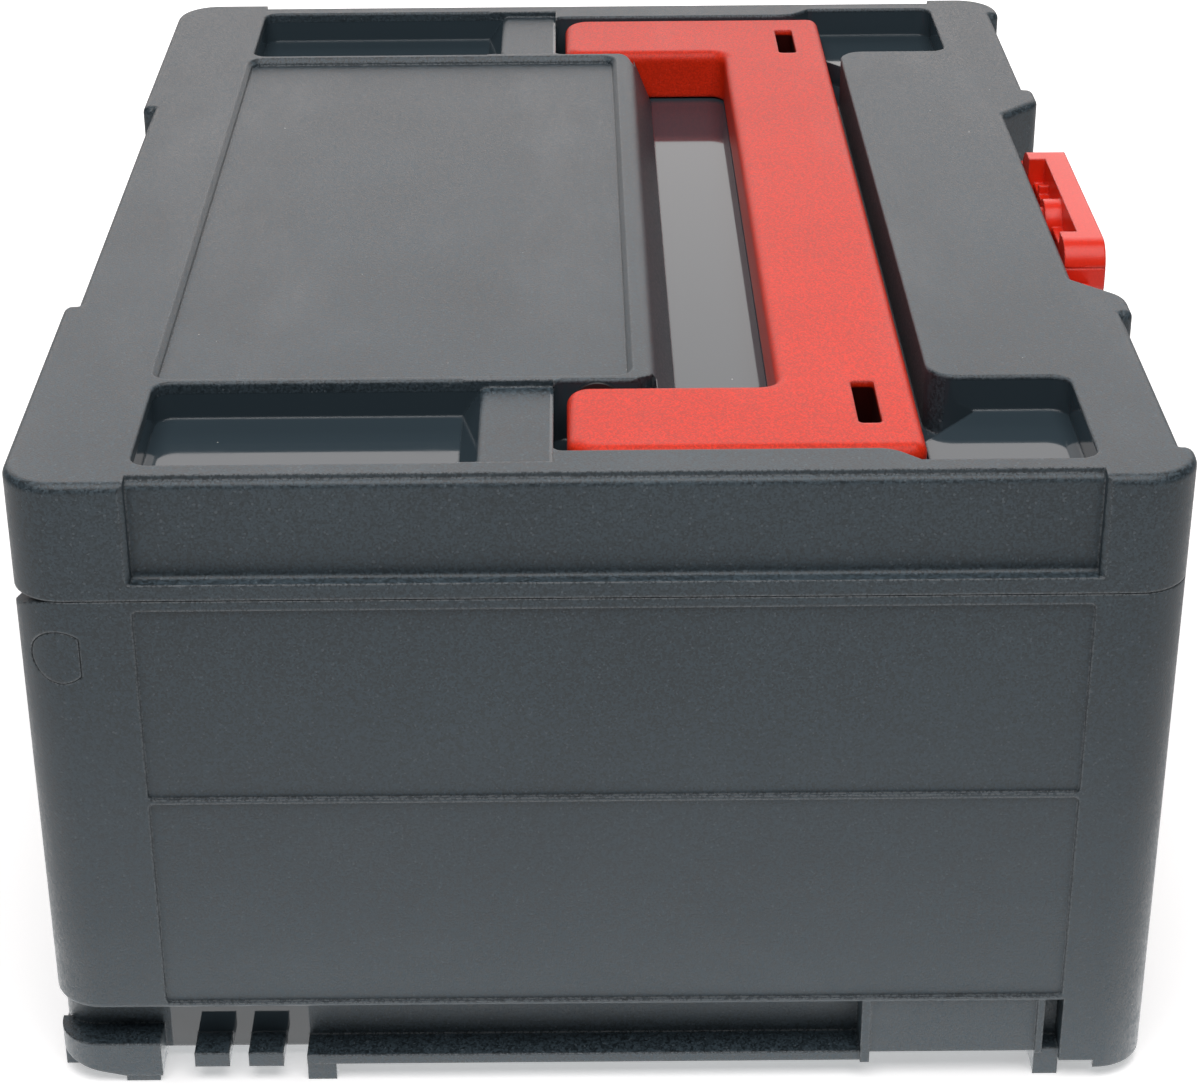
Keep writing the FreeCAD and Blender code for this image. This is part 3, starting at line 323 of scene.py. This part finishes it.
def moulded(name, colour, roughness, grain=0.06, pebbles=1800, smooth_boxes=(), edge=1.0,
            dust=0.06, painted_glint=0.6, contrast=0.65, gloss=0.5, painted_shade_boxes=()):
    """Moulded plastic with a grain and an edge in millimetres; smooth_boxes are polished."""
    material = bpy.data.materials.new(name)
    material.use_nodes = True
    tree = material.node_tree
    principled = tree.nodes["Principled BSDF"].inputs
    principled["Specular IOR Level"].default_value = gloss
    place = add(tree, "ShaderNodeTexCoord").outputs["Object"]
    pebbled = use(tree, SPARK_GRAIN, {"Position": place, "Pebbles per metre": pebbles})
    handling = use(tree, HANDLING, {"Position": place, "Share": dust})
    smooth = in_boxes(tree, place, smooth_boxes, MASK_BORDER)
    matt = maths(tree, "SUBTRACT", 1.0, smooth)
    rounded, on_edge = rounded_edges(tree, edge * MM)

    edged = plastic_colour(tree, colour, contrast, painted_glint, pebbled, matt, on_edge)
    dusty = mix_colour(tree, handling["Dust"], edged, DUST_COLOUR)
    # Painted shade: nearly black inside the given boxes, for the shade deep in a hollow.
    with_painted_shade = mix_colour(tree, in_boxes(tree, place, painted_shade_boxes, PAINTED_SHADE_BORDER), dusty,
                        (*[part * PAINTED_SHADE_SHARE for part in colour], 1.0))
    tree.links.new(with_painted_shade, principled["Base Color"])

    uneven = maths(tree, "MULTIPLY_ADD", pebbled["Pebble"], PEBBLE_GLOSS * contrast,
                   roughness - PEBBLE_GLOSS / 2 * contrast)
    rubbed = maths(tree, "MULTIPLY_ADD", handling["Rub"], -RUB_GLOSS, uneven)
    worn = maths(tree, "MULTIPLY_ADD", on_edge, -EDGE_GLOSS, rubbed)
    polished = maths(tree, "MULTIPLY_ADD", handling["Rub"], RUB_GLOSS, POLISHED)
    spread = maths(tree, "ADD", maths(tree, "MULTIPLY", worn, matt),
                   maths(tree, "MULTIPLY", polished, smooth))
    tree.links.new(spread, principled["Roughness"])

    height = maths(tree, "MULTIPLY", pebbled["Height"], matt)
    bump = add(tree, "ShaderNodeBump", {"Height": height, "Distance": grain * MM,
                                        "Strength": 1.0, "Normal": rounded})
    tree.links.new(bump.outputs[0], principled["Normal"])
    return material


# %% [markdown]
# ## The two grey shells
# The lid is smooth on the floor of the handle's well and in the four pockets; the tub is
# smooth behind the coupling legs and on its floor. Each smooth place is one box. The boxes
# of the pockets end a lip below the edge round them, and what lies in one half of the case
# is mirrored to the other.

# %% Boxes on both halves
LIP = 0.9 * MM
SPARE = 1 * MM


def both_halves(boxes):
    """The boxes with their mirror images across X = 0."""
    mirrored = [(Vector((-high.x, low.y, low.z)), Vector((-low.x, high.y, high.z)))
                for low, high in boxes]
    return boxes + mirrored


def span(x, y, z):
    """A box from its reach along each axis."""
    return Vector((x[0], y[0], z[0])), Vector((x[1], y[1], z[1]))


# %% Finish the lid
SHELL_COLOUR = (0.033, 0.049, 0.060)
POCKETS_ALONG = (END - 60.6 * MM - SPARE, END - 11.6 * MM + SPARE)
FRONT_POCKET = (FRONT + 24.3 * MM - SPARE, FRONT + 159.5 * MM + SPARE)
REAR_POCKET = (REAR - 118.1 * MM, REAR - 31.6 * MM + SPARE)
WELL_ALONG = (60.6 * MM - END, END - 60.6 * MM)
WELL_ACROSS = (FRONT + 61.2 * MM - SPARE, FRONT + 126.4 * MM + SPARE)
WELL_FLOOR = TOP - 17.4 * MM
FLOOR_SPARE = 0.4 * MM
BLOCK_TOP = TOP - 2.1 * MM

lid_smooth = both_halves([
    span(POCKETS_ALONG, FRONT_POCKET, (lid_low.z, TOP - LIP)),
    span(POCKETS_ALONG, REAR_POCKET, (lid_low.z, BLOCK_TOP - LIP)),
])
lid_smooth.append(span(WELL_ALONG, WELL_ACROSS, (lid_low.z, WELL_FLOOR + FLOOR_SPARE)))
lid_plastic = moulded("lid_plastic", SHELL_COLOUR, roughness=0.46, dust=0.12,
                      smooth_boxes=lid_smooth)
print("smooth places on the lid:", len(lid_smooth))

# %% Finish the tub
BEHIND_LEGS = (END - 17 * MM, END - 10.4 * MM)
LEGS_ACROSS = (REAR - 68 * MM, REAR - 30 * MM)
BASE_TOP = tub_low.z + 25.4 * MM
WALL_AND_FILLET = 16 * MM
FLOOR_LOW, FLOOR_HIGH = tub_low.z + 7 * MM, tub_low.z + 10 * MM

tub_smooth = both_halves([span(BEHIND_LEGS, LEGS_ACROSS, (tub_low.z - SPARE, BASE_TOP))])
tub_smooth.append(span((tub_low.x + WALL_AND_FILLET, tub_high.x - WALL_AND_FILLET),
                       (tub_low.y + WALL_AND_FILLET, tub_high.y - WALL_AND_FILLET),
                       (FLOOR_LOW, FLOOR_HIGH)))
tub_plastic = moulded("tub_plastic", SHELL_COLOUR, roughness=0.50, smooth_boxes=tub_smooth)
print("smooth places on the tub:", len(tub_smooth))

# %% [markdown]
# ## Reds and black plastic
# The handle has a slightly finer grain than the shells, in a warm red, and the walls of its
# two strap slots get painted shade, nearly black, because the handle is hollow below. The
# latch is smoother, because fingers turn it. Bushes and strike are a slippery black plastic
# with almost no grain.

# %% Finish the handle, the latch and the black pieces
HANDLE_COLOUR = (0.62, 0.022, 0.003)
LATCH_COLOUR = (0.76, 0.026, 0.008)
BLACK_COLOUR = (0.018, 0.019, 0.021)
# The strap slots, whose walls get painted shade.
STRAP_SLOT = span((END - 62 * MM, END - 31 * MM), (FRONT + 72 * MM, FRONT + 86 * MM),
                  (100 * MM, TOP - 2 * MM))

handle_plastic = moulded("handle_plastic", HANDLE_COLOUR, roughness=0.45, pebbles=2100,
                         edge=1.7, dust=0.02, painted_glint=0.2, contrast=0.22, gloss=0.27,
                         painted_shade_boxes=both_halves([STRAP_SLOT]))
latch_plastic = moulded("latch_plastic", LATCH_COLOUR, roughness=0.34, grain=0.008,
                        pebbles=2200, dust=0.02, painted_glint=0.2, contrast=0.05, gloss=0.4)
black_plastic = moulded("black_plastic", BLACK_COLOUR, roughness=0.38, grain=0.006,
                        pebbles=2500, edge=0.3, dust=0.02, painted_glint=0.1, contrast=0.1)
print("plastics:", handle_plastic.name, latch_plastic.name, black_plastic.name)

# %% [markdown]
# ## Steel
# The pins are turned and the latch's spring is rolled, so fine lines run round the first and
# along the second. They are noise squeezed across the way that the tool or the rolls went.
# Zinc on screws and washer shows no lines, only a fine mottle.

# %% Material: steel with fine lines
STEEL_CLOUDS = 90.0
CLOUD_DEPTH = 0.75
LESS_ROUGH, MORE_ROUGH = 0.08, 0.12
LINE_DEPTH = 0.004 * MM


def lined_steel(name, colour, roughness, lines_per_metre):
    material = bpy.data.materials.new(name)
    material.use_nodes = True
    tree = material.node_tree
    principled = tree.nodes["Principled BSDF"].inputs
    principled["Metallic"].default_value = 1.0
    place = add(tree, "ShaderNodeTexCoord").outputs["Object"]
    squeezed = add(tree, "ShaderNodeMapping", {"Vector": place, "Scale": lines_per_metre})
    lines = add(tree, "ShaderNodeTexNoise", {"Vector": squeezed.outputs[0], "Scale": 1.0,
                                             "Detail": 4.0, "Roughness": 0.7}).outputs[0]
    cloud = add(tree, "ShaderNodeTexNoise", {"Vector": place, "Scale": STEEL_CLOUDS}).outputs[0]
    dark = (*[part * CLOUD_DEPTH for part in colour], 1.0)
    tree.links.new(mix_colour(tree, cloud, dark, (*colour, 1.0)), principled["Base Color"])
    spread = add(tree, "ShaderNodeMapRange", {"Value": lines, "To Min": roughness - LESS_ROUGH,
                                              "To Max": roughness + MORE_ROUGH}).outputs[0]
    tree.links.new(spread, principled["Roughness"])
    bump = add(tree, "ShaderNodeBump", {"Height": lines, "Distance": LINE_DEPTH})
    tree.links.new(bump.outputs[0], principled["Normal"])
    return material


turned_steel = lined_steel("turned_steel", colour=(0.56, 0.57, 0.58), roughness=0.28,
                           lines_per_metre=(9000, 300, 300))
zinc_steel = lined_steel("zinc_steel", colour=(0.60, 0.60, 0.57), roughness=0.34,
                         lines_per_metre=(900, 900, 900))
spring_steel = lined_steel("spring_steel", colour=(0.40, 0.41, 0.44), roughness=0.26,
                           lines_per_metre=(300, 6000, 6000))
print("steels:", turned_steel.name, zinc_steel.name, spring_steel.name)

# %% Give every frame piece its finish
FINISHES = {
    "lid_shell": lid_plastic, "lower_body": tub_plastic,
    "hinge_plug_near": tub_plastic, "hinge_plug_far": tub_plastic,
    "carry_handle": handle_plastic, "latch_knob": latch_plastic, "latch_bezel": latch_plastic,
    "catch_plate": black_plastic, "handle_bush_near": black_plastic,
    "handle_bush_far": black_plastic, "latch_washer": zinc_steel,
    "hinge_pin_near": turned_steel, "hinge_pin_far": turned_steel,
    "handle_pin_near": turned_steel, "handle_pin_far": turned_steel,
    "detent_spring": spring_steel, "bezel_screws": zinc_steel, "catch_screws": zinc_steel,
    "latch_screw": zinc_steel,
}
for name, material in FINISHES.items():
    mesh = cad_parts[name].data
    mesh.materials.clear()
    mesh.materials.append(material)
print("finished nodes:", len(FINISHES))

# %% [markdown]
# ## Real screws
# In the frame a screw is a plain shank with a round head. A real one has a thread and a
# cross recess. One screw is made as a grid that is wrapped round an axis: each row is a ring
# with its own radius and height, the thread makes the radius depend on the angle too, and
# the recess lowers the middle of the head. Closing both ends makes it a solid.

# %% The rings of one screw
PITCH = 1.1 * MM
ROWS_PER_PITCH = 10
TIP_RADIUS, TIP_LONG = 0.15 * MM, 2.2 * MM
PLAIN_LONG = 1 * MM
HEAD_ROWS = 25
UNDERSIDE_SHARE, RIM_SHARE = 0.96, 0.35
RIM_BEVEL = 0.1 * MM


def screw_rows(head_radius, head_high, shank_radius, shank_long):
    """Rings from the tip to the middle of the head: (radius, height, share of thread)."""
    rows = [(TIP_RADIUS, -shank_long, 0.0)]
    threaded = shank_long - PLAIN_LONG
    steps = round(threaded / (PITCH / ROWS_PER_PITCH))
    for step in range(1, steps + 1):
        up = step / steps * threaded
        grown = min(1.0, up / TIP_LONG)
        rows.append((TIP_RADIUS + (shank_radius - TIP_RADIUS) * grown, up - shank_long, grown))
    rows += [(shank_radius, -PLAIN_LONG / 2, 0.0), (shank_radius, 0.0, 0.0),
             (head_radius * UNDERSIDE_SHARE, 0.0, 0.0), (head_radius, RIM_BEVEL, 0.0),
             (head_radius, head_high * RIM_SHARE, 0.0)]
    for step in range(1, HEAD_ROWS):
        angle = step / HEAD_ROWS * math.pi / 2
        rise = RIM_SHARE + (1 - RIM_SHARE) * math.sin(angle)
        rows.append((head_radius * math.cos(angle), head_high * rise, 0.0))
    return rows


# %% The cross recess
CROSS_REACH, CROSS_WIDE, CROSS_DEPTH = 0.62, 0.17, 0.7
SIDE_SLOPE, END_SLOPE = 3, 2.5


def from_zero_to_one(value):
    return max(0.0, min(1.0, value))


def recess(x, y, head_radius):
    """How deep the cross is at a place on the head, from 0 to 1."""
    along = max(abs(x), abs(y)) / (head_radius * CROSS_REACH)
    aside = min(abs(x), abs(y)) / (head_radius * CROSS_WIDE)
    return (from_zero_to_one(SIDE_SLOPE * (1 - aside))
            * from_zero_to_one(END_SLOPE * (1 - along)))


# %% One screw as a mesh
TURN_STEPS = 64
THREAD_DEPTH = 0.28 * MM
THINNEST = 0.1 * MM
HEAD_FROM = 0.2 * MM


def screw_mesh(name, head_radius, head_high, shank_radius, shank_long):
    verts = []
    for radius, height, share in screw_rows(head_radius, head_high, shank_radius, shank_long):
        for step in range(TURN_STEPS):
            angle = 2 * math.pi * step / TURN_STEPS
            ridge = abs(2 * ((height / PITCH - step / TURN_STEPS) % 1) - 1)
            out = max(THINNEST, radius - share * THREAD_DEPTH * (1 - ridge))
            x, y = out * math.cos(angle), out * math.sin(angle)
            sunk = 0.0
            if height > HEAD_FROM:
                sunk = recess(x, y, head_radius) * head_high * CROSS_DEPTH
            verts.append((x, y, height - sunk))
    rings = len(verts) // TURN_STEPS
    faces = [tuple(reversed(range(TURN_STEPS)))]
    for ring in range(rings - 1):
        start = ring * TURN_STEPS
        for step in range(TURN_STEPS):
            after = (step + 1) % TURN_STEPS
            faces.append((start + step, start + after, start + TURN_STEPS + after,
                          start + TURN_STEPS + step))
    faces.append(tuple(range((rings - 1) * TURN_STEPS, rings * TURN_STEPS)))
    mesh = bpy.data.meshes.new(name)
    mesh.from_pydata(verts, [], faces)
    mesh.shade_smooth()
    return mesh


# %% [markdown]
# ## Setting the screws in rows
# Geometry Nodes put one screw on every point of a mesh, turned so that it looks to the rear
# and turned about itself by a random angle, because nobody lines up cross recesses. The
# frame's own boxes give the sizes, and each result is baked to a plain mesh that rides on
# the body of the screws that it replaces.

# %% Geometry Nodes: screws on points
SPIN_SEED = 4
LARGEST_OF_FLOATS = 3


def make_screw_tree():
    tree = bpy.data.node_groups.new("screws_on_points", "GeometryNodeTree")
    for label, kind in (("Points", "NodeSocketGeometry"), ("Screw", "NodeSocketObject"),
                        ("Finish", "NodeSocketMaterial")):
        tree.interface.new_socket(name=label, in_out="INPUT", socket_type=kind)
    tree.interface.new_socket(name="Geometry", in_out="OUTPUT", socket_type="NodeSocketGeometry")
    given = tree.nodes.new("NodeGroupInput").outputs
    screw = add(tree, "GeometryNodeObjectInfo", {"Object": given["Screw"]})
    spin = add(tree, "FunctionNodeRandomValue",
               {LARGEST_OF_FLOATS: 2 * math.pi, "Seed": SPIN_SEED}, data_type="FLOAT")
    turn = add(tree, "ShaderNodeCombineXYZ", {"X": -math.pi / 2, "Y": spin.outputs[1]})
    placed = add(tree, "GeometryNodeInstanceOnPoints",
                 {"Points": given["Points"], "Instance": screw.outputs["Geometry"],
                  "Rotation": turn.outputs[0]})
    real = add(tree, "GeometryNodeRealizeInstances", {"Geometry": placed.outputs[0]})
    dressed = add(tree, "GeometryNodeSetMaterial",
                  {"Geometry": real.outputs[0], "Material": given["Finish"]})
    tree.links.new(dressed.outputs[0], tree.nodes.new("NodeGroupOutput").inputs[0])
    return tree


SCREWS_ON_POINTS = make_screw_tree()
print("tree:", SCREWS_ON_POINTS.name)

# %% Replace a node's plain screws
HEAD_HIGH = 2 * MM


def set_screws(node, seats, shank_radius, body):
    """Seats are the middles of the heads' undersides, as (x, z)."""
    low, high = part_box(node)
    rows_apart = max(z for x, z in seats) - min(z for x, z in seats)
    head_radius = (high.z - low.z - rows_apart) / 2
    seat = high.y - HEAD_HIGH
    mesh = screw_mesh(node + "_model", head_radius, HEAD_HIGH, shank_radius, seat - low.y)
    model = bpy.data.objects.new(node + "_model", mesh)
    points = bpy.data.meshes.new(node + "_seats")
    points.from_pydata([(x, seat, z) for x, z in seats], [], [])
    piece = bpy.data.objects.new(node + "_threaded", points)
    bpy.context.scene.collection.objects.link(piece)
    modifier = piece.modifiers.new("screws", "NODES")
    modifier.node_group = SCREWS_ON_POINTS
    sockets = {item.name: item.identifier for item in SCREWS_ON_POINTS.interface.items_tree}
    modifier[sockets["Screw"]] = model
    modifier[sockets["Finish"]] = zinc_steel
    evaluated = piece.evaluated_get(bpy.context.evaluated_depsgraph_get())
    baked = bpy.data.meshes.new_from_object(evaluated)
    piece.modifiers.remove(modifier)
    piece.data = baked
    bpy.data.meshes.remove(points)
    bpy.data.objects.remove(model)
    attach(piece, body)
    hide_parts(node)
    print(piece.name, "head radius %.2f mm," % (head_radius / MM), len(baked.polygons), "faces")


# %% Set the three rows of screws
BEZEL_SEATS = [(x * MM, z * MM) for x in (-53.3, 53.3) for z in (156.7, 165.8)]
CATCH_SEATS = [(x * MM, 127.2 * MM) for x in (-9.8, 9.8)]
LATCH_SEAT = [(0.0, 172 * MM)]
set_screws("bezel_screws", BEZEL_SEATS, 1.6 * MM, "lid")
set_screws("catch_screws", CATCH_SEATS, 1.6 * MM, "tub")
set_screws("latch_screw", LATCH_SEAT, 2 * MM, "latch")

# %% [markdown]
# ## Studio
# The levels in the picture tell how it was lit. The near end and the handle's far arm are
# brightly and evenly lit, so a soft box hangs above them, a little in front of the near end.
# The top is paler towards the far end, where it mirrors something large and white at a low
# angle, so a panel stands behind the case. The near end grows paler towards the floor,
# because it mirrors the white table just in front of it: the floor glows there, for
# reflections only. For the camera the floor is also lit a little from within, more and more
# away from the case, so that it keeps the shadow beside the case and is white further out.

# %% Floor
FLOOR_SIZE = 14
GLOW, GLOW_REACH = 2.4, 0.11
SEEN_AT_CASE, SEEN_GAIN, SEEN_REACH = 0.42, 0.7, 0.7


def beyond_case(tree):
    """How far a place on the floor is from the case's own rectangle, in metres."""
    place = add(tree, "ShaderNodeTexCoord").outputs["Object"]
    from_middle = add(tree, "ShaderNodeVectorMath", {0: place}, operation="ABSOLUTE").outputs[0]
    half_case = (CAD_BOX[1].x, CAD_BOX[1].y, 0)
    outside = add(tree, "ShaderNodeVectorMath", {0: from_middle, 1: half_case},
                  operation="SUBTRACT").outputs[0]
    beyond = add(tree, "ShaderNodeVectorMath", {0: outside, 1: (0, 0, 0)},
                 operation="MAXIMUM").outputs[0]
    return add(tree, "ShaderNodeVectorMath", {0: beyond}, operation="LENGTH").outputs["Value"]


def make_floor():
    bpy.ops.mesh.primitive_plane_add(size=FLOOR_SIZE)
    floor = bpy.context.object
    floor.name = "studio_floor"
    material = bpy.data.materials.new("studio_white")
    material.use_nodes = True
    tree = material.node_tree
    principled = tree.nodes["Principled BSDF"].inputs
    principled["Base Color"].default_value = (0.9, 0.9, 0.9, 1)
    principled["Roughness"].default_value = 0.8
    principled["Emission Color"].default_value = (1, 1, 1, 1)

    away = beyond_case(tree)
    near_case = maths(tree, "EXPONENT", maths(tree, "DIVIDE", away, -GLOW_REACH))
    near_stage = maths(tree, "EXPONENT", maths(tree, "DIVIDE", away, -SEEN_REACH))
    ray = add(tree, "ShaderNodeLightPath").outputs
    mirrored = maths(tree, "MULTIPLY", maths(tree, "MULTIPLY", near_case, GLOW),
                     ray["Is Glossy Ray"])
    looked_at = maths(tree, "MULTIPLY_ADD", near_stage, -SEEN_GAIN, SEEN_AT_CASE + SEEN_GAIN)
    tree.links.new(maths(tree, "MULTIPLY_ADD", ray["Is Camera Ray"], looked_at, mirrored),
                   principled["Emission Strength"])
    floor.data.materials.append(material)
    print("floor:", FLOOR_SIZE, "m wide")


make_floor()

# %% World and lamps
def make_world(fill):
    """White where the camera sees it, and a dim fill light on the object."""
    world = bpy.data.worlds.new("studio")
    bpy.context.scene.world = world
    world.use_nodes = True
    tree = world.node_tree
    background = tree.nodes["Background"].inputs
    background["Color"].default_value = (1, 1, 1, 1)
    ray = add(tree, "ShaderNodeLightPath").outputs
    seen = maths(tree, "MAXIMUM", ray["Is Camera Ray"], ray["Is Transmission Ray"])
    tree.links.new(maths(tree, "MULTIPLY_ADD", seen, 1 - fill, fill), background["Strength"])


def make_lamp(name, place, target, size, watts, colour):
    data = bpy.data.lights.new(name, "AREA")
    data.shape = "RECTANGLE"
    data.size, data.size_y = size
    data.energy = watts
    data.color = colour
    lamp = bpy.data.objects.new(name, data)
    bpy.context.scene.collection.objects.link(lamp)
    lamp.location = place
    lamp.rotation_mode = "QUATERNION"
    lamp.rotation_quaternion = (Vector(target) - Vector(place)).to_track_quat("-Z", "Y")
    print("lamp:", name, watts, "W")


make_world(fill=0.06)
make_lamp("soft_box", place=(-0.45, 0, 1.15), target=(0, 0, 0.1), size=(1.2, 1.0),
          watts=14.2, colour=(1, 0.98, 0.98))
make_lamp("sheen_panel", place=(2.2, 0, 1.3), target=(0, 0, 0.2), size=(4.0, 2.2),
          watts=48, colour=(1, 0.94, 0.92))

# %% [markdown]
# ## Camera
# The photograph was measured: a camera 0.63 m in front of the case's short end and 0.49 m
# high looks down 27.6 degrees. Its picture is cropped a little off centre, which is what the
# camera's shift is for. The lens is worked out from the focal length as a share of the
# picture's width, so it doesn't depend on the number of pixels that are rendered.

# %% Camera
PHOTO_WIDE, PHOTO_HIGH = 1200, 1090
FOCAL_PIXELS = 2871.1
AXIS_ACROSS, AXIS_DOWN = 569.9, 547.8
FILM_WIDE = 36
CAMERA_PLACE = (-0.82462, 0.00635, 0.49203)
CAMERA_DEGREES = (-0.101, 27.609, -0.518)


def make_camera():
    data = bpy.data.cameras.new("photo_camera")
    camera = bpy.data.objects.new("photo_camera", data)
    bpy.context.scene.collection.objects.link(camera)
    bpy.context.scene.camera = camera
    data.sensor_width = FILM_WIDE
    data.lens = FOCAL_PIXELS / PHOTO_WIDE * FILM_WIDE
    data.shift_x = (PHOTO_WIDE / 2 - AXIS_ACROSS) / PHOTO_WIDE
    data.shift_y = (AXIS_DOWN - PHOTO_HIGH / 2) / PHOTO_WIDE
    data.clip_start, data.clip_end = 0.01, 30
    turn, tilt, roll = (math.radians(angle) for angle in CAMERA_DEGREES)
    level = Vector((math.cos(turn), -math.sin(turn), 0))
    right = Vector((-math.sin(turn), -math.cos(turn), 0))
    ahead = level * math.cos(tilt) - Vector((0, 0, math.sin(tilt)))
    up = level * math.sin(tilt) + Vector((0, 0, math.cos(tilt)))
    across = right * math.cos(roll) + up * math.sin(roll)
    upright = up * math.cos(roll) - right * math.sin(roll)
    camera.matrix_world = (Matrix.Translation(CAMERA_PLACE)
                           @ Matrix((across, upright, -ahead)).transposed().to_4x4())
    print("camera: lens %.1f mm" % data.lens)


make_camera()
bpy.context.scene.view_settings.view_transform = "Standard"
